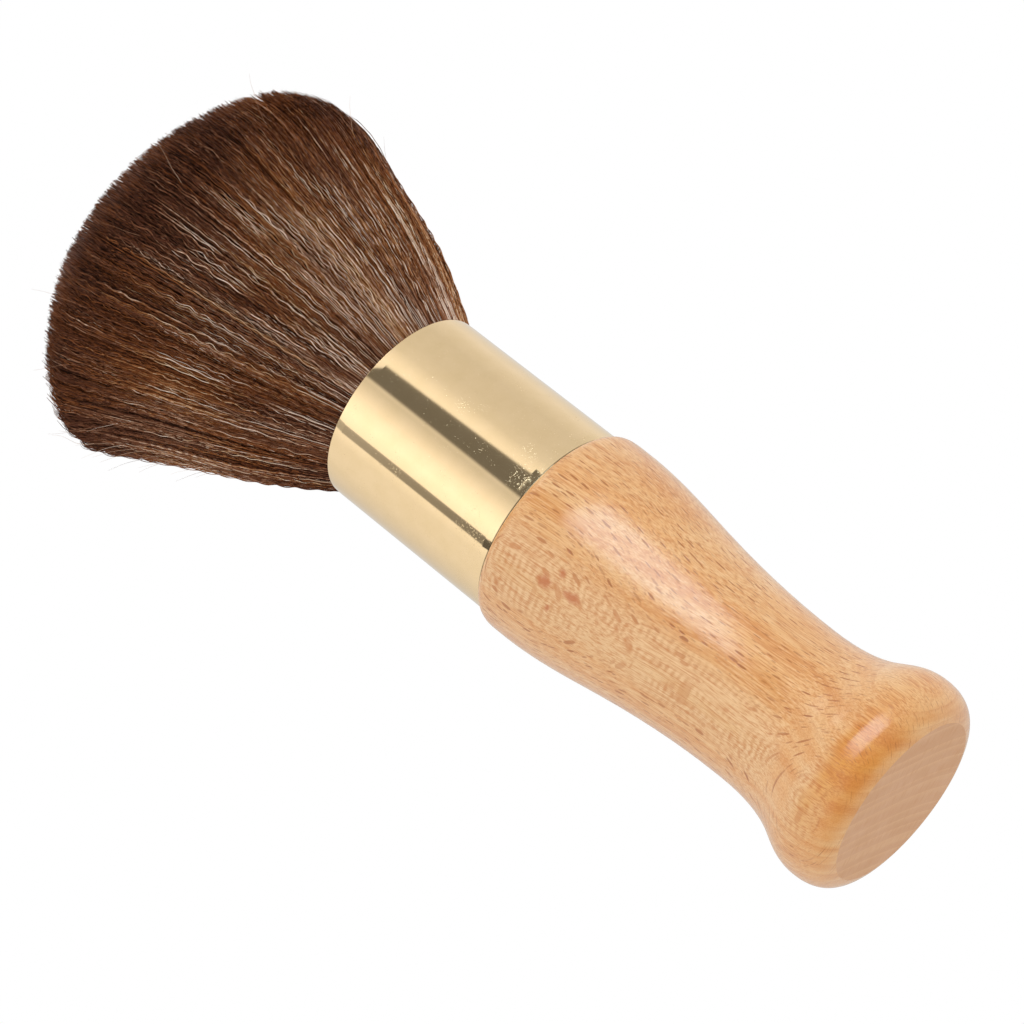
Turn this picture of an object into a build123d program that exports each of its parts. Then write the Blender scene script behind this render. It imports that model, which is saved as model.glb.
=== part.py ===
"""Neck duster brush: a turned beech handle, a metal ferrule and a flared tuft of filaments.

Frame: origin at the centre of the flat butt face, +Z along the brush's axis towards the bristles.
Units are millimetres. The brush is round about Z, so every piece is a revolved half profile, drawn
on the XZ plane with the radius along X. On that plane a sketch's Y is the height Z.
"""

from build123d import *
import os

os.makedirs("parts", exist_ok=True)

# Driving dimensions
ferrule_radius = 18.0
ferrule_wall = 0.5
ferrule_length = 36.4
handle_length = 76.0  # from the butt face to the ferrule's rear edge
tuft_length = 68.0  # from the ferrule's mouth to the tip of the dome
tuft_radius = 36.4  # the widest ring of the tuft

# Handle
butt_flat_radius = 15.3
butt_radius = 19.55  # the widest ring of the flared butt
butt_widest_z = 6.4
cove_radius = 17.0  # half way down the cove between butt and waist
cove_z = 13.9
waist_radius = 14.85
waist_z = 26.0
swell_radius = 16.9  # half way up the swell between waist and shoulder
swell_z = 51.2
shoulder_radius = 19.25
shoulder_z = handle_length - 4.2
collar_radius = ferrule_radius + 0.15  # the shoulder's top edge, just proud of the ferrule
tenon_length = 14.0
tenon_chamfer = 0.8

# Ferrule
bore_radius = ferrule_radius - ferrule_wall
mouth_z = handle_length + ferrule_length
turn_in_length = 1.6  # the stretch at each end where the tube is spun slightly inwards
turn_in_depth = 0.05
lip_radius = 0.2  # rounding of the two outer edges
adhesive_thickness = 0.2
tenon_radius = bore_radius - adhesive_thickness

# Resin plug and the roots that it holds
plug_base_z = handle_length + tenon_length + 0.5
plug_base_thickness = 2.5
plug_skirt_thickness = 0.5
plug_top_z = plug_base_z + 8.5
root_z = plug_base_z + plug_base_thickness
root_radius = bore_radius - plug_skirt_thickness

# Binding thread, wound in a groove that it pulls into the roots
thread_radius = 0.38
thread_pitch = 0.85
thread_turns = 4
binding_radius = root_radius - 0.45
groove_radius = binding_radius - thread_radius - 0.03
groove_z = root_z + 1.0
groove_length = thread_turns * thread_pitch + 0.15

# Tuft outside the ferrule
rim_z = mouth_z + 48.0  # height of the widest ring
tip_z = mouth_z + tuft_length
flare_slope = 0.52  # radius gained for each millimetre of height at the mouth
flare_low_radius = 24.9
flare_low_z = mouth_z + 14.5
flare_high_radius = 32.6
flare_high_z = mouth_z + 33.5
dome_radius = 24.5  # a ring half way up the dome
dome_z = mouth_z + 62.3

# Handle: the outside runs from the butt face up to the shoulder, then in to the tenon
with BuildPart() as handle:
    with BuildSketch(Plane.XZ):
        with BuildLine():
            Line((0, 0), (butt_flat_radius, 0))
            Spline(
                (butt_flat_radius, 0),
                (butt_radius, butt_widest_z),
                tangents=[(1, 0.25), (0, 1)],
            )
            Spline(
                (butt_radius, butt_widest_z),
                (cove_radius, cove_z),
                (waist_radius, waist_z),
                tangents=[(0, 1), (0, 1)],
            )
            Spline(
                (waist_radius, waist_z),
                (swell_radius, swell_z),
                (shoulder_radius, shoulder_z),
                tangents=[(0, 1), (0, 1)],
            )
            Spline(
                (shoulder_radius, shoulder_z),
                (collar_radius, handle_length),
                tangents=[(0, 1), (-1, 0.4)],
            )
            Polyline(
                (collar_radius, handle_length),
                (tenon_radius, handle_length),
                (tenon_radius, handle_length + tenon_length - tenon_chamfer),
                (tenon_radius - tenon_chamfer, handle_length + tenon_length),
                (0, handle_length + tenon_length),
                (0, 0),
            )
        make_face()
    revolve(axis=Axis.Z)
handle.part.label = "handle"
export_step(handle.part, "parts/handle.step")

# Adhesive sleeve: fills the gap between the tenon and the ferrule's bore
with BuildPart() as tenon_adhesive:
    with BuildSketch(Plane.XY.offset(handle_length)):
        Circle(bore_radius)
        Circle(tenon_radius, mode=Mode.SUBTRACT)
    extrude(amount=tenon_length - tenon_chamfer)
tenon_adhesive.part.label = "tenon_adhesive"
export_step(tenon_adhesive.part, "parts/tenon_adhesive.step")

# Ferrule: a thin tube, spun slightly inwards at both ends, with its outer edges rounded
with BuildPart() as ferrule:
    with BuildSketch(Plane.XZ):
        with BuildLine():
            Line((bore_radius, handle_length), (ferrule_radius - turn_in_depth, handle_length))
            TangentArc(
                (ferrule_radius, handle_length + turn_in_length),
                (ferrule_radius - turn_in_depth, handle_length),
                tangent=(0, 1),
                tangent_from_first=False,
            )
            Line(
                (ferrule_radius, handle_length + turn_in_length),
                (ferrule_radius, mouth_z - turn_in_length),
            )
            TangentArc(
                (ferrule_radius, mouth_z - turn_in_length),
                (ferrule_radius - turn_in_depth, mouth_z),
                tangent=(0, 1),
            )
            Polyline(
                (ferrule_radius - turn_in_depth, mouth_z),
                (bore_radius, mouth_z),
                (bore_radius, handle_length),
            )
        make_face()
    revolve(axis=Axis.Z)
    end_edges = ferrule.edges().group_by(Axis.Z)
    rear_rim = end_edges[0].sort_by(SortBy.RADIUS)[-1]
    mouth_rim = end_edges[-1].sort_by(SortBy.RADIUS)[-1]
    fillet([rear_rim, mouth_rim], radius=lip_radius)
ferrule.part.label = "ferrule"
export_step(ferrule.part, "parts/ferrule.step")

# Resin plug: a shallow cup with its floor under the root ends and its skirt round them
with BuildPart() as resin_plug:
    with BuildSketch(Plane.XY.offset(plug_base_z)):
        Circle(bore_radius)
    extrude(amount=plug_top_z - plug_base_z)
    with BuildSketch(Plane.XY.offset(root_z)):
        Circle(root_radius)
    extrude(amount=plug_top_z - root_z, mode=Mode.SUBTRACT)
resin_plug.part.label = "resin_plug"
export_step(resin_plug.part, "parts/resin_plug.step")

# Binding: the turns of waxed thread round the roots, one ring for each turn
with BuildPart() as root_binding:
    with BuildSketch(Plane.XZ):
        with Locations((binding_radius, groove_z + groove_length / 2)):
            with GridLocations(1, thread_pitch, 1, thread_turns):
                Circle(thread_radius)
    revolve(axis=Axis.Z)
root_binding.part.label = "root_binding"
export_step(root_binding.part, "parts/root_binding.step")

# Bristle tuft: one closed solid with the outer shape of the whole bundle of filaments
with BuildPart() as bristle_tuft:
    with BuildSketch(Plane.XZ):
        with BuildLine():
            Polyline(
                (0, root_z),
                (root_radius, root_z),
                (root_radius, groove_z),
                (groove_radius, groove_z),
                (groove_radius, groove_z + groove_length),
                (root_radius, groove_z + groove_length),
                (root_radius, plug_top_z),
                (bore_radius, plug_top_z),
                (bore_radius, mouth_z),
            )
            Spline(
                (bore_radius, mouth_z),
                (flare_low_radius, flare_low_z),
                (flare_high_radius, flare_high_z),
                (tuft_radius, rim_z),
                tangents=[(flare_slope, 1), (0, 1)],
            )
            Spline(
                (tuft_radius, rim_z),
                (dome_radius, dome_z),
                (0, tip_z),
                tangents=[(0, 1), (-1, 0)],
            )
            Line((0, tip_z), (0, root_z))
        make_face()
    revolve(axis=Axis.Z)
bristle_tuft.part.label = "bristle_tuft"
export_step(bristle_tuft.part, "parts/bristle_tuft.step")
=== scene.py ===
"""Looks of the neck duster brush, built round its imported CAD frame.

Everything is in metres in the row frame: the brush stands on its flat butt at z = 0, and +Z runs
along its axis to the bristles. The camera looks up at it from in front (-Y), a little below the
butt, and is rolled so that the brush lies across the picture.
"""

import math

import bpy
import numpy as np
from mathutils import Matrix, Vector


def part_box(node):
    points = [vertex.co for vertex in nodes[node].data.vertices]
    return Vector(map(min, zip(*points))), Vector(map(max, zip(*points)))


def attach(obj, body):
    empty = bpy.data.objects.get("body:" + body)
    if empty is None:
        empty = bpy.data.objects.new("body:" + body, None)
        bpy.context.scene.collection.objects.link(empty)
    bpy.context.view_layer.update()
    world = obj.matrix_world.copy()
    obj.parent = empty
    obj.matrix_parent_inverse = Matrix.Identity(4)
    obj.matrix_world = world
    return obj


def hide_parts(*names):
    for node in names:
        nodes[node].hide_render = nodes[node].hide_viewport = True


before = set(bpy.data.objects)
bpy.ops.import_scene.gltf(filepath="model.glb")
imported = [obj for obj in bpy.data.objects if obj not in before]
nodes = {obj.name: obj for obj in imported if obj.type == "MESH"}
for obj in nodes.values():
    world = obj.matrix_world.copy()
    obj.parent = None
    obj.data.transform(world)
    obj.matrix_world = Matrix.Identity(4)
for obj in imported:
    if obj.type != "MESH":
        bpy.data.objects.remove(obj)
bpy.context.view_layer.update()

MM = 0.001

ferrule_low, ferrule_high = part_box("ferrule")
_, tuft_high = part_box("bristle_tuft")
SEAM_Z = ferrule_low.z
MOUTH_Z = ferrule_high.z
TIP_Z = tuft_high.z


# ---------------------------------------------------------------- camera

LENS = 130.0  # mm
SENSOR_WIDTH = 36.0  # mm
CLIP_NEAR, CLIP_FAR = 0.01, 20.0  # metres
VIEW_ELEVATION = math.radians(-25.32)
VIEW_ROLL = math.radians(-51.56)
SEAM_IN_VIEW = Vector((7.38, -2.83, -613.3)) * MM  # where the seam's centre lies for the camera


def make_camera():
    data = bpy.data.cameras.new("camera")
    data.lens = LENS
    data.sensor_width = SENSOR_WIDTH
    data.clip_start, data.clip_end = CLIP_NEAR, CLIP_FAR
    cam = bpy.data.objects.new("camera", data)
    bpy.context.scene.collection.objects.link(cam)
    turn = Matrix.Rotation(math.pi / 2 - VIEW_ELEVATION, 4, "X")
    turn = turn @ Matrix.Rotation(VIEW_ROLL, 4, "Z")
    place = Vector((0, 0, SEAM_Z)) - turn.to_3x3() @ SEAM_IN_VIEW
    cam.matrix_world = Matrix.Translation(place) @ turn
    bpy.context.scene.camera = cam


make_camera()


# ---------------------------------------------------------------- node helpers

class Tree:
    """Short forms for building a node tree."""

    def __init__(self, tree):
        self.tree = tree
        self.tree.nodes.clear()

    def node(self, kind, **settings):
        made = self.tree.nodes.new(kind)
        for key, value in settings.items():
            setattr(made, key, value)
        return made

    def put(self, socket, value):
        """A socket is linked to, and anything else becomes the input's own value."""
        if isinstance(value, bpy.types.NodeSocket):
            self.tree.links.new(value, socket)
        elif isinstance(value, (tuple, list)) and len(value) == 3 and socket.type == "RGBA":
            socket.default_value = (*value, 1.0)
        else:
            socket.default_value = value

    def math(self, operation, a, b=0.0, c=0.0):
        made = self.node("ShaderNodeMath", operation=operation)
        for socket, value in zip(made.inputs, (a, b, c)):
            self.put(socket, value)
        return made.outputs[0]

    def product(self, first, *others):
        for other in others:
            first = self.math("MULTIPLY", first, other)
        return first

    def vector(self, operation, a, b=(0.0, 0.0, 0.0)):
        made = self.node("ShaderNodeVectorMath", operation=operation)
        self.put(made.inputs[0], a)
        self.put(made.inputs[1], b)
        return made.outputs["Value"] if operation in ("LENGTH", "DOT_PRODUCT") else made.outputs[0]

    def noise(self, where, scale=1.0, detail=3.0, rough=0.5, colour=False):
        made = self.node("ShaderNodeTexNoise")
        self.put(made.inputs["Vector"], where)
        made.inputs["Scale"].default_value = scale
        made.inputs["Detail"].default_value = detail
        made.inputs["Roughness"].default_value = rough
        return made.outputs["Color" if colour else "Fac"]

    def stretched(self, where, scales, detail=2.0, rough=0.5):
        """Noise with a scale of its own along each axis."""
        return self.noise(self.vector("MULTIPLY", where, scales), 1.0, detail, rough)

    def cells(self, where, scale=1.0, feature="F1"):
        """The outputs of a cell pattern."""
        made = self.node("ShaderNodeTexVoronoi", feature=feature)
        self.put(made.inputs["Vector"], where)
        made.inputs["Scale"].default_value = scale
        return made.outputs

    def steps(self, value, *marks, ease=False):
        """A value that goes from one level to another while the input goes between two others,
        clamped. The marks are the input's start and end, and then the levels there."""
        kind = "SMOOTHSTEP" if ease else "LINEAR"
        made = self.node("ShaderNodeMapRange", interpolation_type=kind)
        self.put(made.inputs["Value"], value)
        for name, mark in zip(("From Min", "From Max", "To Min", "To Max"), marks):
            self.put(made.inputs[name], mark)
        return made.outputs["Result"]

    def mix(self, amount, a, b, blend="MIX"):
        made = self.node("ShaderNodeMix", data_type="RGBA", blend_type=blend)
        self.put(made.inputs[0], amount)
        self.put(made.inputs[6], a)
        self.put(made.inputs[7], b)
        return made.outputs[2]

    def ramp(self, value, *stops):
        """Each stop is (position, colour)."""
        made = self.node("ShaderNodeValToRGB")
        self.put(made.inputs[0], value)
        elements = made.color_ramp.elements
        while len(elements) < len(stops):
            elements.new(0.5)
        for element, (position, colour) in zip(elements, stops):
            element.position = position
            element.color = (*colour, 1.0)
        return made.outputs[0]


def in_mm(t):
    """Object coordinates in millimetres."""
    scaled = t.vector("SCALE", t.node("ShaderNodeTexCoord").outputs["Object"])
    scaled.node.inputs["Scale"].default_value = 1000.0
    return scaled


def xyz(t, vector):
    split = t.node("ShaderNodeSeparateXYZ")
    t.put(split.inputs[0], vector)
    return split.outputs


def join(t, x, y, z):
    made = t.node("ShaderNodeCombineXYZ")
    for socket, value in zip(made.inputs, (x, y, z)):
        t.put(socket, value)
    return made.outputs[0]


def strip(t, value, low, high, soft=1.2):
    """1 between two marks and 0 outside, with soft edges."""
    rise = t.steps(value, low - soft, low + soft, 0.0, 1.0, ease=True)
    fall = t.steps(value, high - soft, high + soft, 1.0, 0.0, ease=True)
    return t.product(rise, fall)


def srgb(red, green, blue):
    """A display colour, 0 to 255, as linear light."""
    def linear(c):
        c = c / 255
        return c / 12.92 if c <= 0.04045 else ((c + 0.055) / 1.055) ** 2.4

    return (linear(red), linear(green), linear(blue))


def new_material(name):
    """A material with an empty tree, its Principled shader and its output."""
    mat = bpy.data.materials.new(name)
    mat.use_nodes = True
    t = Tree(mat.node_tree)
    shader = t.node("ShaderNodeBsdfPrincipled")
    out = t.node("ShaderNodeOutputMaterial")
    t.tree.links.new(shader.outputs[0], out.inputs["Surface"])
    return mat, t, shader


def dress(node_name, mat):
    """Gives a CAD node its finished material."""
    for slot in nodes[node_name].material_slots:
        slot.material = mat


# ---------------------------------------------------------------- light

bpy.context.scene.view_settings.view_transform = "Standard"


# How bright the tent's wall is at each azimuth in degrees. 0 is towards the camera (-Y), and the
# angle grows towards +X.
WALL_LEVELS = (
    (-180, 0.70),
    (-148, 0.72),
    (-105, 0.94),
    (-77, 0.98),
    (-56, 1.28),
    (-40, 1.47),
    (-26, 1.30),
    (-10, 0.90),
    (-3, 0.76),
    (28, 1.22),
    (36, 1.10),
    (48, 0.86),
    (64, 0.78),
    (95, 0.76),
    (130, 0.92),
    (180, 0.70),
)
WALL_SCALE = 0.5  # the ramp's colours stay below 1
CEILING_LEVEL = 0.90
CEILING_FADE = (45.0, 75.0)  # elevations in degrees, between which the wall turns into the ceiling
GROUND_LEVEL = 0.40
GROUND_FADE = (-60.0, -18.0)
GAP_LEVEL = 0.19
GAP_REACH = (12, 46)  # elevations between which the wall has its gaps
WIDE_GAP_NEAR = (0.0, 4.4)  # azimuths between which its soft near edge rises
WIDE_GAP_FAR = (29.2, 31.0)
WIDE_GAP_NARROWING = 2.0  # degrees of azimuth for each degree of elevation above the next angle
NARROWING_FROM = 25.0
LEAST_NARROWING = -5.5
THIN_GAP = (-65.2, -54.8)
THIN_GAP_SOFT = 0.6
THIN_GAP_FADE = (23.5, 29.0, 0.90, 0.58)  # two elevations, and how dark the gap is there
WINDOW_LEVEL = 6.8  # the bright window that glossy surfaces mirror
WINDOW_TINT = (0.78, 1.0, 1.20)
WINDOW_SIDES = (8, 50)  # azimuths
WINDOW_HEIGHT = 28
WINDOW_TOP = (24.0, 34.0, 17.5, 14.5)  # two azimuths, and the elevation of the top edge there
WINDOW_SOFT = 3.0
SOFT_LEVEL = 1.06  # the light on matt surfaces, nearly even all round
SOFT_BELOW = 0.86  # the share of it that comes from below
SOFT_SIDE = 0.10  # how much more of it comes from +X


def wall_level(t, azimuth, elevation):
    """How bright the tent is in each direction. Its wall has two dark gaps."""
    turn = t.math("MULTIPLY_ADD", azimuth, 1 / 360, 0.5)
    stops = [(angle / 360 + 0.5, (level * WALL_SCALE,) * 3) for angle, level in WALL_LEVELS]
    wall = t.math("DIVIDE", t.ramp(turn, *stops), WALL_SCALE)
    level = t.steps(elevation, *CEILING_FADE, wall, CEILING_LEVEL, ease=True)
    level = t.steps(elevation, *GROUND_FADE, GROUND_LEVEL, level, ease=True)

    # the wide gap narrows upwards, and the thin one fades upwards
    narrowing = t.product(t.math("SUBTRACT", elevation, NARROWING_FROM), WIDE_GAP_NARROWING)
    narrowing = t.math("MAXIMUM", narrowing, LEAST_NARROWING)
    near_side = t.steps(azimuth, *WIDE_GAP_NEAR, 0.0, 1.0, ease=True)
    far_side = t.steps(t.math("ADD", azimuth, narrowing), *WIDE_GAP_FAR, 1.0, 0.0, ease=True)
    reach = strip(t, elevation, *GAP_REACH, soft=3)
    wide_gap = t.product(near_side, far_side, reach)
    thin_gap = t.product(strip(t, azimuth, *THIN_GAP, soft=THIN_GAP_SOFT), reach)
    thin_gap = t.product(thin_gap, t.steps(elevation, *THIN_GAP_FADE))
    level = t.product(level, t.math("SUBTRACT", 1.0, thin_gap))
    return t.steps(wide_gap, 0.0, 1.0, level, GAP_LEVEL)


def window_mask(t, azimuth, elevation):
    """1 inside the window and 0 outside."""
    below_top = t.math("SUBTRACT", elevation, t.steps(azimuth, *WINDOW_TOP))
    across = strip(t, azimuth, *WINDOW_SIDES, soft=WINDOW_SOFT)
    return t.product(across, strip(t, below_top, -WINDOW_HEIGHT, 0, soft=WINDOW_SOFT))


def make_surroundings():
    """A white photo tent as a world. The ferrule mirrors the wall's dark gaps as stripes, and the
    window gives the lacquer its highlight. Matt surfaces get an even light. The camera sees plain
    white behind the brush."""
    world = bpy.data.worlds.new("tent")
    bpy.context.scene.world = world
    world.use_nodes = True
    t = Tree(world.node_tree)
    x, y, z = xyz(t, t.node("ShaderNodeTexCoord").outputs["Generated"])
    azimuth = t.product(t.math("ARCTAN2", x, t.product(y, -1.0)), 180 / math.pi)
    elevation = t.product(t.math("ARCSINE", z), 180 / math.pi)

    path = t.node("ShaderNodeLightPath")
    window = t.product(window_mask(t, azimuth, elevation), path.outputs["Is Glossy Ray"])
    level = t.steps(window, 0.0, 1.0, wall_level(t, azimuth, elevation), WINDOW_LEVEL)
    soft = t.steps(z, -0.6, 0.2, SOFT_LEVEL * SOFT_BELOW, SOFT_LEVEL)
    soft = t.math("MULTIPLY_ADD", x, SOFT_SIDE, soft)
    level = t.steps(path.outputs["Is Diffuse Ray"], 0.0, 1.0, level, soft)
    tent = t.node("ShaderNodeBackground")
    t.put(tent.inputs["Strength"], level)
    t.put(tent.inputs["Color"], t.mix(window, (1.0, 1.0, 1.0), WINDOW_TINT))
    seen = t.node("ShaderNodeBackground")
    t.put(seen.inputs["Color"], (1.0, 1.0, 1.0))
    pick = t.node("ShaderNodeMixShader")
    out = t.node("ShaderNodeOutputWorld")
    t.put(pick.inputs[0], path.outputs["Is Camera Ray"])
    t.put(pick.inputs[1], tent.outputs[0])
    t.put(pick.inputs[2], seen.outputs[0])
    t.put(out.inputs["Surface"], pick.outputs[0])


def softbox(name, azimuth, elevation, distance, width, height, radiance):
    """A rectangular lamp that faces the middle of the brush."""
    data = bpy.data.lights.new(name, "AREA")
    data.shape = "RECTANGLE"
    data.size, data.size_y = width, height
    data.energy = radiance * width * height * math.pi
    lamp = bpy.data.objects.new(name, data)
    bpy.context.scene.collection.objects.link(lamp)
    a, e = math.radians(azimuth), math.radians(elevation)
    away = Vector((math.sin(a) * math.cos(e), -math.cos(a) * math.cos(e), math.sin(e)))
    lamp.location = Vector((0, 0, TIP_Z / 2)) + away * distance
    lamp.rotation_mode = "QUATERNION"
    lamp.rotation_quaternion = away.to_track_quat("Z", "Y")
    lamp.visible_camera = False


make_surroundings()
softbox("key", azimuth=38, elevation=58, distance=1.1, width=0.30, height=0.30, radiance=1.5)


FLOOR_HALF = 6.0  # metres
FLOOR_DROP = 0.4 * MM  # how far it lies below the butt
FLOOR_COLOUR = (0.86, 0.86, 0.855)


def make_floor():
    """The pale table top. It shows only from above, so the low main camera sees past it."""
    mesh = bpy.data.meshes.new("floor")
    half = FLOOR_HALF
    corners = [(-half, -half, 0), (half, -half, 0), (half, half, 0), (-half, half, 0)]
    mesh.from_pydata(corners, [], [(0, 1, 2, 3)])
    floor = bpy.data.objects.new("floor", mesh)
    bpy.context.scene.collection.objects.link(floor)
    floor.location.z = -FLOOR_DROP
    mat, t, shader = new_material("floor_paper")
    t.put(shader.inputs["Base Color"], FLOOR_COLOUR)
    t.put(shader.inputs["Roughness"], 0.9)
    clear = t.node("ShaderNodeBsdfTransparent")
    pick = t.node("ShaderNodeMixShader")
    t.put(pick.inputs[0], t.node("ShaderNodeNewGeometry").outputs["Backfacing"])
    t.put(pick.inputs[1], shader.outputs[0])
    t.put(pick.inputs[2], clear.outputs[0])
    output = next(n for n in t.tree.nodes if n.type == "OUTPUT_MATERIAL")
    t.put(output.inputs["Surface"], pick.outputs[0])
    mesh.materials.append(mat)
    for ray in ("diffuse", "glossy", "transmission", "volume_scatter", "shadow"):
        setattr(floor, "visible_" + ray, False)


make_floor()


# ---------------------------------------------------------------- beech

PITH_AZIMUTH = math.radians(-118)  # where the tree's centre lies, seen from the brush's axis
PITH_DISTANCE = 140.0  # mm
RING_WIDTH = 2.3  # mm
# ray flecks below the ferrule, two of them large: centre and half length along each axis, in mm
FLECKS = (
    ((-7.87, -17.08, 63.96), (1.2, 1.2, 1.6)),
    ((-7.17, -16.62, 58.72), (1.0, 1.0, 1.9)),
    ((-5.0, -17.85, 62.1), (0.75, 0.75, 0.75)),
    ((-10.95, -14.97, 61.79), (0.7, 0.7, 0.5)),
    ((-9.14, -15.12, 52.4), (0.6, 0.6, 0.5)),
)
QUARTER_FACING = (0.90, 0.985)  # how squarely a side has to face along the rings
BAR_SPACING = 1.35  # mm, between the bars of the ladder on quarter-sawn sides
GRAIN_SLOPE = 0.07  # how far the grain runs towards +X for each mm towards the butt
GRAIN_SWAY = (5.0, 5.0, 0.0)  # mm

GROUND_TONES = (srgb(218, 152, 86), srgb(228, 171, 109), srgb(234, 187, 131))
LATE_WOOD = srgb(202, 130, 68)
QUARTER_WOOD = srgb(232, 190, 139)
LADDER_PALE, LADDER_DARK = srgb(238, 198, 150), srgb(206, 144, 84)
FIBRE_DARK, FIBRE_PALE = srgb(200, 126, 62), srgb(242, 200, 150)
PORE = srgb(180, 106, 50)
RAY_FLAT, RAY_QUARTER = srgb(162, 86, 26), srgb(202, 134, 76)
FLECK = srgb(192, 108, 54)
STAIN = (0.90, 0.64, 0.22)  # what the stain leaves of the wood's red, green and blue
STAIN_TOP = (10.0, 16.0)  # mm above the butt, between which the stain ends
STAIN_FRONT = (math.radians(-32), math.radians(24))  # azimuths between which it is full
END_TONES = (srgb(205, 158, 120), srgb(210, 165, 130))
END_RING, END_RAY = srgb(224, 182, 140), srgb(196, 140, 96)
# painted shade for the gap at the seam: its colour, and how far down the shoulder it reaches
SEAM_SHADE = srgb(70, 44, 26)
SEAM_DEPTH = 0.18  # mm
# room for each ray cell and half its size, as (across, out from the pith, along) in mm
LARGE_RAYS = ((1.00, 10.0, 2.4), (0.115, 5.0, 1.05))
SMALL_RAYS = ((0.62, 7.0, 1.5), (0.075, 3.2, 0.48))
LARGE_RAYS_FADE = (8.0, 13.0, 0.25, 1.0)  # two heights in mm, and how strong they are there


def grain_space(t, mm):
    """Across the rays, out from the pith, and along the tree, in mm, with a slight natural sway."""
    sway = t.noise(t.vector("MULTIPLY", mm, (0.014, 0.014, 0.02)), 1.0, 2.0, colour=True)
    sway = t.vector("MULTIPLY", t.vector("SUBTRACT", sway, (0.5, 0.5, 0.5)), GRAIN_SWAY)
    x, y, z = xyz(t, t.vector("ADD", mm, sway))
    x = t.math("MULTIPLY_ADD", z, GRAIN_SLOPE, x)
    pith_x = PITH_DISTANCE * math.sin(PITH_AZIMUTH)
    pith_y = -PITH_DISTANCE * math.cos(PITH_AZIMUTH)
    dx = t.math("SUBTRACT", x, pith_x)
    dy = t.math("SUBTRACT", y, pith_y)
    radius = t.math("SQRT", t.math("ADD", t.product(dx, dx), t.product(dy, dy)))
    # the angle counts from the line to the brush's axis, so that its jump lies outside the brush
    ca, sa = -pith_x / PITH_DISTANCE, -pith_y / PITH_DISTANCE
    ahead = t.math("ADD", t.product(dx, ca), t.product(dy, sa))
    across = t.math("SUBTRACT", t.product(dy, ca), t.product(dx, sa))
    arc = t.product(t.math("ARCTAN2", across, ahead), PITH_DISTANCE)
    return join(t, arc, radius, z)


def rays(t, grain, size, share):
    """Ray cells: thin upright plates scattered in the wood. size is the room for each one and half
    its size, and share how many of the rooms are taken. Returns a mask from 0 to 1."""
    cell, half = size
    space = t.vector("MULTIPLY", grain, tuple(1 / c for c in cell))
    cells = t.cells(space)
    offset = t.vector("SUBTRACT", space, cells["Position"])
    far = t.vector("MULTIPLY", offset, tuple(c / h for c, h in zip(cell, half)))
    far = t.vector("LENGTH", far)
    luck, depth, _ = xyz(t, cells["Color"])
    reach = t.steps(luck, 1 - share, 1.0, 0.6, 1.25)
    mask = t.steps(t.math("SUBTRACT", reach, far), -0.05, 0.28, 0.0, 1.0)
    mask = t.product(mask, t.math("GREATER_THAN", luck, 1 - share))
    return t.product(mask, t.math("MULTIPLY_ADD", depth, 0.55, 0.45))


def beech_ground(t, grain):
    """Slow bands along the grain, with growth rings that darken slowly and end in a thin line.
    Returns the colour and where the late wood is."""
    bands = t.stretched(grain, (0.11, 0.45, 0.010), 3.0, 0.6)
    ground = t.ramp(bands, *zip((0.30, 0.48, 0.68), GROUND_TONES))
    _, radius, _ = xyz(t, grain)
    uneven = t.stretched(grain, (0.0, 0.23, 0.0))
    ring = t.math("MULTIPLY_ADD", uneven, 2.4, t.math("DIVIDE", radius, RING_WIDTH))
    late = t.math("POWER", t.math("FRACT", ring), 4.0)
    return t.mix(t.product(late, 0.32), ground, LATE_WOOD), late


def add_ladder(t, ground, grain, height, quarter):
    """Quarter-sawn sides are paler, with bars across the grain where broad rays lie in the
    surface."""
    ground = t.mix(t.product(quarter, 0.75), ground, QUARTER_WOOD)
    tilt = t.stretched(grain, (0.45, 0.34, 0.10))
    along = t.math("MULTIPLY_ADD", tilt, 2.6, height)
    bars = t.math("SINE", t.product(along, 2 * math.pi / BAR_SPACING))
    bars = t.steps(bars, -0.5, 0.9, 0.0, 1.0)
    ladder = t.stretched(grain, (0.5, 0.42, 0.05))
    ladder = t.product(t.steps(ladder, 0.42, 0.55, 0.0, 1.0), quarter)
    ground = t.mix(t.product(ladder, 0.25), ground, LADDER_PALE)
    return t.mix(t.product(bars, ladder, 0.66), ground, LADDER_DARK)


def add_fibres(t, ground, fibre, pores, upright):
    """Fibres and pores, fainter where the surface cuts across the grain."""
    dark_fibre = t.product(t.steps(fibre, 0.48, 0.66, 0.0, 0.75), upright)
    pale_fibre = t.product(t.steps(fibre, 0.48, 0.32, 0.0, 0.62), upright)
    ground = t.mix(dark_fibre, ground, FIBRE_DARK)
    ground = t.mix(pale_fibre, ground, FIBRE_PALE)
    return t.mix(t.product(pores, upright, 0.38), ground, PORE)


def add_flecks(t, ground, mm):
    """The few single flecks below the ferrule."""
    for centre, half in FLECKS:
        away = t.vector("SUBTRACT", mm, centre)
        far = t.vector("LENGTH", t.vector("MULTIPLY", away, tuple(1 / h for h in half)))
        ragged = t.math("MULTIPLY_ADD", t.noise(mm, 1.1, 2.0), 1.2, far)
        ground = t.mix(t.steps(ragged, 0.95, 1.75, 0.85, 0.0), ground, FLECK)
    return ground


def add_stain(t, ground, mm, normal, down, height):
    """The turned rim round the butt took up more stain, most of it in front."""
    low = t.steps(height, *STAIN_TOP, 1.0, 0.0)
    rim = t.product(strip(t, down, -0.10, 0.88, soft=0.16), low)
    across, depth, _ = xyz(t, normal)
    facing = t.math("ARCTAN2", across, t.product(depth, -1.0))
    front = strip(t, facing, *STAIN_FRONT, soft=0.45)
    front = t.math("MULTIPLY_ADD", front, 0.75, 0.25)
    patchy = t.steps(t.stretched(mm, (0.16, 0.16, 0.16)), 0.32, 0.6, 0.66, 1.0)
    return t.mix(t.product(rim, front, patchy), ground, STAIN, blend="MULTIPLY")


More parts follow.
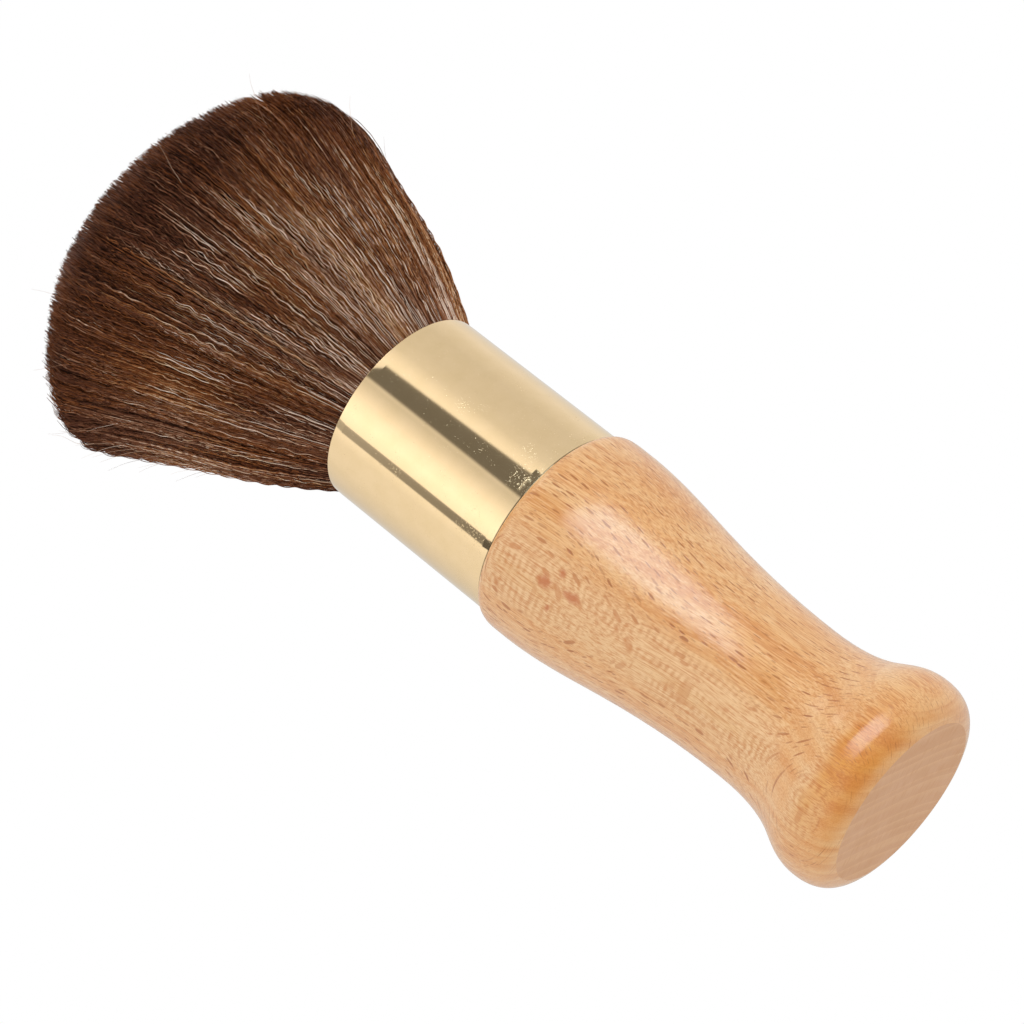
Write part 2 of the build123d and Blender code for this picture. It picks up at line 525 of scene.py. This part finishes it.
def end_grain(t, grain, late):
    """The colour of the flat butt face: pale and pinkish, with rings and fine rays."""
    tone = t.stretched(grain, (0.12, 0.2, 0.0))
    face = t.ramp(tone, *zip((0.35, 0.65), END_TONES))
    face = t.mix(t.product(late, 0.6), face, END_RING)
    fine_rays = t.stretched(grain, (5.0, 0.35, 0.0))
    return t.mix(t.steps(fine_rays, 0.48, 0.66, 0.0, 0.45), face, END_RAY)


def make_beech():
    """Steamed beech under clear lacquer, as a solid block of wood. Its rays are thin upright plates
    that point at the pith, so flat-sawn sides show short dark dashes, quarter-sawn sides show a
    ladder of flecks, and the butt shows the rings."""
    mat, t, shader = new_material("beech")
    mm = in_mm(t)
    grain = grain_space(t, mm)
    normal = t.node("ShaderNodeNewGeometry").outputs["Normal"]
    _, _, up = xyz(t, normal)
    down = t.product(up, -1.0)
    _, _, height = xyz(t, mm)
    along_rings = (-math.cos(PITH_AZIMUTH), -math.sin(PITH_AZIMUTH), 0.0)
    quarter = t.math("ABSOLUTE", t.vector("DOT_PRODUCT", normal, along_rings))
    quarter = t.steps(quarter, *QUARTER_FACING, 0.0, 1.0, ease=True)
    upright = t.steps(t.math("ABSOLUTE", up), 0.18, 0.60, 1.0, 0.35)
    fibre = t.stretched(grain, (5.2, 5.2, 0.20), 2.0, 0.65)
    pores = t.steps(t.stretched(grain, (9.0, 9.0, 1.1), 1.0, 0.5), 0.60, 0.72, 0.0, 1.0)
    large = rays(t, grain, LARGE_RAYS, 0.88)
    large = t.product(large, t.steps(height, *LARGE_RAYS_FADE))
    small = rays(t, grain, SMALL_RAYS, 0.85)
    end = t.steps(down, 0.955, 0.99, 0.0, 1.0)

    ground, late = beech_ground(t, grain)
    ground = add_ladder(t, ground, grain, height, quarter)
    ground = add_fibres(t, ground, fibre, pores, upright)
    ray = t.mix(quarter, RAY_FLAT, RAY_QUARTER)
    ground = t.mix(t.product(small, 0.55), ground, ray)
    ground = t.mix(t.product(large, 0.90), ground, ray)
    ground = add_flecks(t, ground, mm)
    ground = add_stain(t, ground, mm, normal, down, height)
    ground = t.mix(t.product(end, 0.92), ground, end_grain(t, grain, late))
    # painted shade: a dark line where the shoulder meets the ferrule, for the shaded gap at the seam
    seam = t.steps(height, SEAM_Z / MM - SEAM_DEPTH, SEAM_Z / MM - 0.04, 0.0, 0.9)
    ground = t.mix(seam, ground, SEAM_SHADE)

    t.put(shader.inputs["Base Color"], ground)
    dull = t.math("MULTIPLY_ADD", fibre, 0.2, 0.36)
    t.put(shader.inputs["Roughness"], t.math("ADD", t.product(large, 0.12), dull))
    t.put(shader.inputs["Specular IOR Level"], t.steps(end, 0.0, 1.0, 0.25, 0.05))
    t.put(shader.inputs["Coat Weight"], t.steps(end, 0.0, 1.0, 0.75, 0.12))
    t.put(shader.inputs["Coat Roughness"], 0.09)
    bump = t.node("ShaderNodeBump")
    relief = t.math("MULTIPLY_ADD", large, -0.5, fibre)
    t.put(bump.inputs["Height"], t.math("MULTIPLY_ADD", pores, -0.35, relief))
    t.put(bump.inputs["Strength"], 0.45)
    t.put(bump.inputs["Distance"], 0.05 * MM)
    t.put(shader.inputs["Normal"], bump.outputs[0])
    t.put(shader.inputs["Coat Normal"], bump.outputs[0])
    return mat


# ---------------------------------------------------------------- gold ferrule

# the most rubbed patch on the ferrule's front: centre and half size along each axis, in mm
RUB_CENTRE = (2.8, -17.8, 79.0)
RUB_HALF = (2.4, 3.0, 2.2)
GOLD_TONES = ((0.89, 0.665, 0.385), (0.86, 0.64, 0.36))
GOLD_SPECK = (0.50, 0.38, 0.24)
# painted shade: the dark gap at the seam as the metal mirrors it
GOLD_SEAM_SHADE = (0.05, 0.035, 0.02)


def gold_specks(t, mm):
    """Rare small round pits."""
    cells = t.cells(mm, 1.15)
    luck, _, _ = xyz(t, cells["Color"])
    size = t.steps(luck, 0.50, 1.0, 0.0, 0.11)
    return t.steps(t.math("SUBTRACT", size, cells["Distance"]), 0.0, 0.02, 0.0, 1.0)


def gold_dust(t, mm):
    """Tiny specks all over, denser in some places."""
    cells = t.cells(mm, 3.2)
    luck, _, _ = xyz(t, cells["Color"])
    dense = t.steps(t.noise(mm, 0.5, 2.0), 0.35, 0.65, 0.0, 0.35)
    size = t.steps(t.math("ADD", luck, dense), 0.86, 1.25, 0.0, 0.24)
    return t.steps(t.math("SUBTRACT", size, cells["Distance"]), 0.0, 0.06, 0.0, 0.55)


def gold_scratches(t, mm, height):
    """Short hairline scratches in a few rubbed patches, most of them near the handle."""
    shift = t.vector("MULTIPLY", t.noise(mm, 0.9, 2.0, colour=True), (1.2, 1.2, 1.2))
    lines = t.cells(t.vector("ADD", mm, shift), 1.6, feature="DISTANCE_TO_EDGE")
    scratch = t.steps(lines["Distance"], 0.015, 0.04, 1.0, 0.0)
    broken = t.steps(t.noise(mm, 2.4, 2.0), 0.53, 0.60, 0.0, 1.0)
    rubbed = t.stretched(mm, (0.16, 0.16, 0.16))
    near_handle = t.steps(height, SEAM_Z / MM, SEAM_Z / MM + 22, 0.10, -0.04)
    rubbed = t.steps(t.math("ADD", rubbed, near_handle), 0.60, 0.66, 0.0, 1.0)
    away = t.vector("SUBTRACT", mm, RUB_CENTRE)
    far = t.vector("LENGTH", t.vector("MULTIPLY", away, tuple(1 / h for h in RUB_HALF)))
    rubbed = t.math("MAXIMUM", rubbed, t.steps(far, 0.7, 1.1, 1.0, 0.0))
    return t.product(scratch, broken, rubbed)


def make_gold():
    """Polished gold-coloured metal with a few scuffs and specks, and shallow waves from the
    spinning."""
    mat, t, shader = new_material("gold_metal")
    mm = in_mm(t)
    _, _, height = xyz(t, mm)
    speck = gold_specks(t, mm)
    marks = t.math("MAXIMUM", gold_scratches(t, mm, height), speck)
    marks = t.math("MAXIMUM", marks, gold_dust(t, mm))

    cloud = t.noise(mm, 0.35, 3.0)
    tint = t.mix(t.steps(cloud, 0.35, 0.7, 0.0, 1.0), *GOLD_TONES)
    tint = t.mix(t.product(speck, 0.2), tint, GOLD_SPECK)
    # painted shade in the corner against the handle, for the dark gap at the seam mirrored in the
    # metal
    seam = t.steps(height, SEAM_Z / MM + 0.18, SEAM_Z / MM + 0.36, 0.9, 0.0)
    tint = t.mix(seam, tint, GOLD_SEAM_SHADE)
    t.put(shader.inputs["Base Color"], tint)
    t.put(shader.inputs["Metallic"], 1.0)
    drawn = t.stretched(mm, (7.0, 7.0, 0.12), 3.0)
    smooth = t.math("MULTIPLY_ADD", drawn, 0.04, 0.05)
    t.put(shader.inputs["Roughness"], t.math("MULTIPLY_ADD", marks, 0.50, smooth))
    bump = t.node("ShaderNodeBump")
    waves = t.stretched(mm, (0.16, 0.16, 0.05))
    relief = t.math("MULTIPLY_ADD", marks, -0.10, t.product(waves, 0.5))
    t.put(bump.inputs["Height"], relief)
    t.put(bump.inputs["Strength"], 0.35)
    t.put(bump.inputs["Distance"], 0.05 * MM)
    t.put(shader.inputs["Normal"], bump.outputs[0])
    return mat


# ---------------------------------------------------------------- hidden pieces

def make_resin(name, colour, bubbles):
    """Set resin or glue: a clear amber mass, cloudy with small bubbles."""
    mat, t, shader = new_material(name)
    mm = in_mm(t)
    haze = t.noise(mm, bubbles, 4.0, 0.6)
    pale = tuple(min(1.0, c * 1.35 + 0.04) for c in colour)
    t.put(shader.inputs["Base Color"], t.mix(t.steps(haze, 0.35, 0.7, 0.0, 1.0), colour, pale))
    t.put(shader.inputs["Roughness"], t.math("MULTIPLY_ADD", haze, 0.3, 0.15))
    return mat


THREAD_TWISTS = 70.0  # in one turn of thread round the roots


def make_thread():
    """Waxed twisted thread: a slanting twist round each turn."""
    mat, t, shader = new_material("waxed_thread")
    x, y, z = xyz(t, in_mm(t))
    turn = t.product(t.math("ARCTAN2", y, x), THREAD_TWISTS)
    twist = t.math("SINE", t.math("MULTIPLY_ADD", z, 9.0, turn))
    twist = t.math("MULTIPLY_ADD", twist, 0.5, 0.5)
    # painted shade: darker in the grooves of the twist, where the bump is lowest
    t.put(shader.inputs["Base Color"], t.mix(twist, srgb(176, 164, 138), srgb(224, 214, 190)))
    t.put(shader.inputs["Roughness"], 0.55)
    bump = t.node("ShaderNodeBump")
    t.put(bump.inputs["Height"], twist)
    t.put(bump.inputs["Distance"], 0.1 * MM)
    t.put(shader.inputs["Normal"], bump.outputs[0])
    return mat


dress("handle", make_beech())
dress("ferrule", make_gold())
dress("resin_plug", make_resin("resin", srgb(196, 158, 98), 0.6))
dress("tenon_adhesive", make_resin("adhesive", srgb(222, 212, 176), 0.9))
dress("root_binding", make_thread())


# ---------------------------------------------------------------- hair

LEAN = (-2.1, 2.66)  # mm that the head has been brushed over at LEAN_RISE, towards +X and +Y
LEAN_RISE = 47.4
DOME_HEIGHT = 21.5  # mm from the widest ring to the tip of the dome
DOME_POWER = 1.52
BULGE = 1.7  # mm that the head swells on its -X side
BULGE_RISE = 46.8
BULGE_SPAN = 3.6
SLACK = 0.15  # mm that the outer filaments keep from the ferrule's bore
SLACK_RISE = 6.0  # mm above the mouth, where the slack ends
ROOT_DEPTH = 3.0  # mm below the mouth, where the modelled filaments start
SLANT = 1.12  # mm along a filament for each mm of height
CRIMP_LENGTH = 4.0  # mm of one wave
TIP_LENGTH = 8.0  # mm of a short end at the dome
TIP_WIDTH = 0.17  # mm
STRAY_WIDTH = 0.07  # mm
STRAY_WAVE = 4.2  # mm of one wave
MAX_TRIANGLES = 190_000  # for one piece

# Full-length filaments: name, count, share (see bloom), steps, width and crimp's swing in mm, tone,
# how many are pale (partly their own pale tone and partly painted glints), seed.
LAYERS = (
    ("filaments_under", 900, 0.950, 40, 0.25, 0.04, 0.28, 0.0, 101),
    ("filaments_middle", 950, 0.963, 60, 0.21, 0.06, 0.38, 0.02, 102),
    ("filaments_upper", 1000, 0.975, 90, 0.160, 0.10, 0.46, 0.05, 103),
    ("filaments_outer", 1300, 0.985, 100, 0.130, 0.14, 0.48, 0.08, 104),
    ("filaments_pale", 260, 0.992, 100, 0.150, 0.15, 0.50, 0.62, 105),
)

# display colours of the filaments, dark to pale
UMBER = (
    (36, 21, 16), (66, 40, 29), (98, 58, 40), (130, 83, 56),
    (168, 122, 93), (213, 177, 149), (242, 217, 196),
)
CHESTNUT = (
    (45, 23, 14), (81, 45, 25), (117, 67, 37), (148, 89, 48),
    (178, 124, 80), (214, 174, 134), (240, 214, 184),
)
TONES = len(UMBER)


def tuft_outline():
    """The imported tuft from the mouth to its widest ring: heights above the mouth and the radius at
    each, in mm."""
    mesh = nodes["bristle_tuft"].data
    places = np.empty(len(mesh.vertices) * 3)
    mesh.vertices.foreach_get("co", places)
    places = places.reshape(-1, 3) / MM
    radius = np.hypot(places[:, 0], places[:, 1])
    rise = places[:, 2] - MOUTH_Z / MM
    widest = rise[np.argmax(radius)]
    flare = (rise > -0.01) & (rise <= widest)
    order = np.argsort(rise[flare])
    return rise[flare][order], radius[flare][order]


OUTLINE_RISE, OUTLINE_RADIUS = tuft_outline()
RIM_RISE = OUTLINE_RISE[-1]


def field(angle, rise, turns, lengths, waves, seed):
    """A smooth random value of about unit spread over the tuft's surface: a sum of waves. turns is
    the range of whole cycles round the tuft, and lengths that of wavelengths along it, in mm."""
    r = np.random.default_rng(seed)
    total = np.zeros(np.broadcast(angle, rise).shape)
    for _ in range(waves):
        k = r.integers(turns[0], turns[1] + 1) * r.choice((-1, 1))
        q = 2 * math.pi / r.uniform(*lengths)
        total += np.sin(k * angle + q * rise + r.uniform(0, 2 * math.pi))
    return total * math.sqrt(2 / waves)


def bloom(share, angle, rise):
    """Where a filament lies, in mm from the mouth's centre. share is 0 on the axis and 1 in the
    outer layer."""
    slack = SLACK * np.clip(1 - rise / SLACK_RISE, 0, 1)
    radius = (np.interp(rise, OUTLINE_RISE, OUTLINE_RADIUS) - slack) * share
    swell = np.clip(-np.sin(angle), 0, 1) ** 4 * np.exp(-(((rise - BULGE_RISE) / BULGE_SPAN) ** 2))
    radius = radius + BULGE * share * swell
    lean = (np.clip(rise, 0, None) / LEAN_RISE) ** 2
    x = radius * np.sin(angle) + LEAN[0] * lean
    y = -radius * np.cos(angle) + LEAN[1] * lean
    return x, y


def end_rise(share):
    """How high a filament reaches: the outline of the dome."""
    return RIM_RISE + DOME_HEIGHT * (1 - np.clip(share, 0, 1) ** DOME_POWER) ** (1 / DOME_POWER)


def make_filament_materials():
    """One glossy plastic for each shade of filament, dark to pale, first umber and then chestnut.
    Each filament changes shade along its length, by its faces' materials."""
    made = []
    for family, shades in (("umber", UMBER), ("chestnut", CHESTNUT)):
        for k, shade in enumerate(shades):
            mat, t, shader = new_material(f"filament_{family}_{k}")
            t.put(shader.inputs["Base Color"], srgb(*shade))
            t.put(shader.inputs["Roughness"], 0.38)
            t.put(shader.inputs["Specular IOR Level"], 0.055 * max(0.2, k - 1))
            made.append(mat)
    return made


filament_materials = make_filament_materials()


def add_piece(name, mesh):
    """Makes a mesh a finished piece of the tuft."""
    obj = bpy.data.objects.new(name, mesh)
    bpy.context.scene.collection.objects.link(obj)
    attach(obj, "root")
    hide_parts("bristle_tuft")


def prisms(name, paths, widths, shades):
    """A mesh of closed three-sided filaments. paths is (count, steps, 3) in mm from the mouth's
    centre, widths (count, steps) the thickness, and shades (count, steps - 1) the materials."""
    count, steps, _ = paths.shape
    ahead = np.gradient(paths, axis=1)
    ahead /= np.linalg.norm(ahead, axis=2, keepdims=True)
    across = np.cross(ahead, (0.0, 0.0, 1.0))
    upright = np.linalg.norm(across, axis=2, keepdims=True) < 1e-6
    across = np.where(upright, (1.0, 0.0, 0.0), across)
    across /= np.linalg.norm(across, axis=2, keepdims=True)
    other = np.cross(ahead, across)
    corners = []
    for k in range(3):
        a = 2 * math.pi * k / 3 + math.pi / 2
        shift = across * math.cos(a) + other * math.sin(a)
        corners.append(paths + shift * widths[..., None] / 2)
    verts = np.stack(corners, axis=2).reshape(-1, 3) * MM
    verts[:, 2] += MOUTH_Z
    first = np.arange(count) * steps * 3
    base = first[:, None, None] + np.arange(steps - 1)[None, :, None] * 3
    side = np.arange(3)[None, None, :]
    turn = (side + 1) % 3
    quads = np.stack([base + side, base + turn, base + turn + 3, base + side + 3], axis=-1)
    last = first + (steps - 1) * 3
    foot = np.stack([first + 2, first + 1, first], axis=1)
    head = np.stack([last, last + 1, last + 2], axis=1)
    corners = np.concatenate([quads.ravel(), foot.ravel(), head.ravel()])
    quad_count = count * (steps - 1) * 3
    starts = np.concatenate([np.arange(quad_count) * 4, quad_count * 4 + np.arange(2 * count) * 3])
    mesh = bpy.data.meshes.new(name)
    mesh.vertices.add(len(verts))
    mesh.vertices.foreach_set("co", verts.astype(np.float32).ravel())
    mesh.loops.add(len(corners))
    mesh.loops.foreach_set("vertex_index", corners.astype(np.int32))
    mesh.polygons.add(len(starts))
    mesh.polygons.foreach_set("loop_start", starts.astype(np.int32))
    for mat in filament_materials:
        mesh.materials.append(mat)
    chosen = np.concatenate([shades.repeat(3, axis=1).ravel(), shades[:, 0], shades[:, -1]])
    mesh.polygons.foreach_set("material_index", chosen.astype(np.int32))
    mesh.polygons.foreach_set("use_smooth", np.ones(len(starts), bool))
    mesh.update(calc_edges=True)
    add_piece(name, mesh)


def split_prisms(name, paths, widths, shades):
    """The same, in as many pieces as the size of one allows."""
    count, steps, _ = paths.shape
    parts = math.ceil(count * ((steps - 1) * 6 + 2) / MAX_TRIANGLES)
    for k, chosen in enumerate(np.array_split(np.arange(count), parts)):
        prisms(f"{name}_{k + 1}", paths[chosen], widths[chosen], shades[chosen])


def shade_of(angle, rise, share_along, own, warm, r):
    """Which material each stretch of filament gets. own is the filament's own tone, 0 dark to 1
    pale, and warm leans it to chestnut."""
    streak = field(angle, rise, (20, 90), (60, 400), 14, 51)
    cloud = field(angle, rise, (2, 9), (40, 160), 8, 52)
    # painted light on the +X side and painted shade on the -X side
    painted_sun = np.clip(np.sin(angle - 0.35), 0, 1)
    shadow = np.clip(np.sin(-angle), 0, 1)
    low = np.clip(1 - rise / 26, 0, 1)
    # painted light: paler towards +X; towards -X, painted shade low down and a little painted light
    # above
    tone = own + 0.03 * streak + 0.04 * cloud + 0.10 * painted_sun * np.clip(1 - rise / 55, 0, 1)
    tone = tone - 0.17 * shadow * low + 0.06 * shadow**4 * (1 - low)
    # the outer half is darker, a little later where the painted light falls, and its very end has a
    # painted reddish glow
    tip = np.clip((share_along - 0.55 + 0.11 * painted_sun) / 0.33, 0, 1)
    tone = tone * (1 - 0.50 * tip) + 0.07 * tip
    # a painted reddish glow at the very ends, where light shines back through the tips
    painted_glow = np.clip((share_along - 0.955) / 0.02, 0, 1)
    tone = tone + 0.01 * painted_glow
    level = tone * (TONES - 1) + r.uniform(-0.5, 0.5, tone.shape)
    level = np.clip(np.round(level), 0, TONES - 1).astype(int)
    # warmer where the painted light falls, and at the painted glow of the tips' ends
    heat = warm + 0.22 * field(angle, rise, (3, 14), (30, 120), 8, 53) + 0.35 * painted_glow + 0.25 * painted_sun
    heat = heat - 0.35 * np.clip(1 - rise / 14, 0, 1) - 0.25 * tip
    return level + TONES * (heat + r.uniform(-0.15, 0.15, tone.shape) > 0.5)


def crimp(angle, along, swing, jitter, seed):
    """The filaments' wave, sideways and outwards, in mm. Neighbours wave nearly together, because
    they were crimped as one tow."""
    r = np.random.default_rng(seed)
    count = len(angle)
    around = angle[:, :1]
    phase = 2.4 * field(around, 0.0, (4, 30), (50, 90), 10, seed + 1)
    phase = phase + r.normal(0, jitter, (count, 1))
    length = CRIMP_LENGTH + 0.30 * field(around, 0.0, (3, 24), (50, 90), 8, seed + 2)
    length = length + r.normal(0, 0.10, (count, 1))
    size = 1 + 0.35 * field(around, along, (6, 50), (12, 45), 12, seed + 3)
    size = swing * np.clip(size * r.uniform(0.5, 1.3, (count, 1)), 0.1, 2.0)
    turn = 2 * math.pi * along / length + phase
    turn = turn + 0.6 * field(around, along, (5, 30), (12, 30), 8, seed + 4)
    return size * np.sin(turn), 0.6 * size * np.cos(turn + 0.6)


def middles(values):
    """The values half way between neighbouring steps."""
    return (values[:, 1:] + values[:, :-1]) / 2


def layer_paths(start, shares, ends, u, swing, seed, r):
    """Where full-length filaments run. u goes from 0 at the roots to 1 at the tips. Returns their
    angles, their heights above the mouth and their points."""
    rise = -ROOT_DEPTH + (ends + ROOT_DEPTH) * u
    drift = r.normal(0, 0.014, start.shape)
    drift = drift + 0.008 * field(start, 0.0, (7, 45), (50, 90), 10, 61)
    gather = -0.006 * field(start, 0.0, (40, 90), (50, 90), 12, 62)
    angle = start + drift * u + gather * u**1.5
    side, out = crimp(angle, (rise + ROOT_DEPTH) * SLANT, swing, 0.30, seed)
    free = np.clip(rise / 5, 0.15, 1)
    relief = 0.26 * field(angle, rise, (24, 80), (60, 300), 12, 63) * np.clip(rise / 16, 0, 1)
    x, y = bloom(shares, angle, rise)
    x = x + (side * np.cos(angle) + out * np.sin(angle)) * free + relief * np.sin(angle)
    y = y + (side * np.sin(angle) - out * np.cos(angle)) * free - relief * np.cos(angle)
    return angle, rise, np.stack([x, y, rise], axis=-1)


def layer_shades(start, angle, rise, u, tone, bright, r):
    """The materials along full-length filaments. Bright ones are pale, partly their own tone and
    partly painted glints, with darker stretches.
    """
    middle = middles(rise)
    own = tone + 0.16 * r.normal(0, 1, start.shape)
    # painted glints: pale stretches that come and go along each bright filament
    glint = field(start, middle, (3, 60), (8, 30), 10, 64)
    near = np.clip(1 - middle / 20, 0, 1)
    shine = np.clip(0.86 + 0.22 * glint + 0.16 * near, 0.40, 1.1)
    shine = shine * r.uniform(0.78, 1.15, start.shape)
    own = np.where(bright, shine, own)
    warm = 0.56 + 0.24 * r.normal(0, 1, start.shape) - 0.25 * bright
    return shade_of(middles(angle), middle, middles(u), own, warm, r)


def make_layer(name, count, share, steps, width, swing, tone, pale, seed):
    """A layer of full-length filaments, from inside the ferrule to the dome. More of them are pale
    towards -Y and +X, painted glints on the side the light comes from."""
    r = np.random.default_rng(seed)
    place = np.arange(count)[:, None] + r.uniform(-0.45, 0.45, (count, 1))
    start = place / count * 2 * math.pi
    shares = np.clip(share + r.normal(0, 0.007, (count, 1)), 0.80, 1.0)
    ends = end_rise(shares) + r.normal(0, 0.22, (count, 1))
    u = np.linspace(0, 1, steps)[None, :]
    angle, rise, points = layer_paths(start, shares, ends, u, swing, seed + 20, r)
    # the pale ones, partly painted glints, crowd towards the light, between -Y and +X
    bright = r.random((count, 1)) < pale * (0.65 + 0.60 * np.cos(start - 0.6))
    thick = 1 + 0.22 * r.normal(0, 1, (count, 1)) - 0.08 * bright
    taper = np.clip((1 - u) / 0.06, 0.25, 1.0)
    thick = width * np.clip(thick, 0.6, 1.5) * taper
    shades = layer_shades(start, angle, rise, u, tone, bright, r)
    split_prisms(name, points, thick, shades)


def make_tips(name, count, seed):
    """Short stretches of the inner filaments where they come out at the dome."""
    r = np.random.default_rng(seed)
    taper = np.array([1.0, 1.0, 1.0, 0.9, 0.5])[None, :]
    shares = np.sqrt(r.uniform(0.0, 0.985**2, count))[:, None]
    start = r.uniform(0, 2 * math.pi, (count, 1))
    ends = end_rise(shares) + r.normal(0, 0.14, (count, 1))
    u = np.linspace(0, 1, taper.size)[None, :]
    rise = ends - TIP_LENGTH * (1 - u)
    bend = r.normal(0, 0.012, (count, 1)) * u
    angle = start + bend
    x, y = bloom(shares * (1 + bend), angle, rise)
    thick = TIP_WIDTH * np.clip(1 + 0.25 * r.normal(0, 1, (count, 1)), 0.6, 1.5) * taper
    along = 0.80 + 0.2 * middles(u)
    own = 0.34 + 0.14 * r.normal(0, 1, (count, 1))
    warm = 0.46 + 0.25 * r.normal(0, 1, (count, 1))
    shades = shade_of(angle[:, 1:], middles(rise), along, own, warm, r)
    split_prisms(name, np.stack([x, y, rise], axis=-1), thick, shades)


def make_strays(name, count, seed):
    """A few loose hairs that stick out of the tuft, half of them on its -X side."""
    r = np.random.default_rng(seed)
    steps = 24
    u = np.linspace(0, 1, steps)[None, :]
    every_other = np.arange(count)[:, None] % 2 == 0
    on_the_side = r.normal(-1.5, 0.40, (count, 1))
    anywhere = r.uniform(-math.pi, math.pi, (count, 1))
    start = np.where(every_other, on_the_side, anywhere)
    angle = start + r.normal(0, 0.05, (count, 1)) * u
    first = r.uniform(20, 43, (count, 1))
    rise = first + r.uniform(6, 12, (count, 1)) * u
    share = 0.985 + r.uniform(0.04, 0.12, (count, 1)) * u**1.8
    x, y = bloom(share, angle, np.minimum(rise, RIM_RISE + 6))
    wave = 0.12 * np.sin(2 * math.pi * rise / STRAY_WAVE + r.uniform(0, 6, (count, 1))) * u
    x = x + wave * np.cos(angle)
    y = y + wave * np.sin(angle)
    thick = STRAY_WIDTH * np.clip(1.3 - u, 0.3, 1) * np.ones((count, 1))
    shades = np.clip(np.round(r.uniform(2, 6, (count, 1))), 0, TONES - 1).astype(int)
    shades = shades.repeat(steps - 1, axis=1)
    prisms(name, np.stack([x, y, rise], axis=-1), thick, shades)


CORE_GRID = (240, 60, 26)  # corners round it, rings up the flare, and rings over the dome
CORE_SHARE = 0.945
CORE_SINK = 2.5  # mm below the filaments' tips
CORE_FOOT = -6.0  # mm from the mouth


def make_core_material():
    mat, t, shader = new_material("tuft_core")
    streak = t.stretched(in_mm(t), (3.0, 3.0, 0.12), 4.0, 0.6)
    # painted shade: darker than any filament, and darkest in the grooves between its streaks
    dark = t.mix(t.steps(streak, 0.4, 0.65, 0.0, 1.0), srgb(26, 14, 9), srgb(60, 34, 22))
    t.put(shader.inputs["Base Color"], dark)
    t.put(shader.inputs["Roughness"], 0.6)
    t.put(shader.inputs["Specular IOR Level"], 0.02)
    bump = t.node("ShaderNodeBump")
    t.put(bump.inputs["Height"], streak)
    t.put(bump.inputs["Distance"], 0.4 * MM)
    t.put(shader.inputs["Normal"], bump.outputs[0])
    return mat


def make_core():
    """The dark mass of filaments under the outer layers, as one closed body, its colour painted
    shade for the inside of the tuft.
    """
    around, up, over = CORE_GRID
    angle = np.linspace(0, 2 * math.pi, around, endpoint=False)
    top = end_rise(CORE_SHARE) - CORE_SINK
    rings = [(CORE_SHARE, rise) for rise in np.linspace(CORE_FOOT, top, up)]
    for k in range(1, over):
        share = CORE_SHARE * (1 - k / over)
        rings.append((share, end_rise(share) - CORE_SINK))
    verts = []
    for share, rise in rings:
        rise = np.full(around, rise)
        x, y = bloom(share, angle, rise)
        verts.append(np.stack([x, y, rise], axis=1))
    crown = end_rise(0.0) - CORE_SINK
    x, y = bloom(0.0, np.zeros(1), np.array([crown]))
    verts.append([[x[0], y[0], crown], [0.0, 0.0, CORE_FOOT]])
    verts = np.concatenate(verts) * MM
    verts[:, 2] += MOUTH_Z

    highest = (len(rings) - 1) * around
    crown_at = len(rings) * around
    faces = []
    for low in range(0, highest, around):
        for j in range(around):
            k = (j + 1) % around
            faces.append((low + j, low + k, low + around + k, low + around + j))
    for j in range(around):
        k = (j + 1) % around
        faces.append((highest + j, highest + k, crown_at))
        faces.append((k, j, crown_at + 1))
    mesh = bpy.data.meshes.new("tuft_core")
    mesh.from_pydata([tuple(v) for v in verts], [], faces)
    mesh.polygons.foreach_set("use_smooth", np.ones(len(mesh.polygons), bool))
    mesh.materials.append(make_core_material())
    add_piece("tuft_core", mesh)


make_core()
for layer in LAYERS:
    make_layer(*layer)
make_tips("tip_filaments", 14000, 201)
make_strays("stray_filaments", 44, 301)
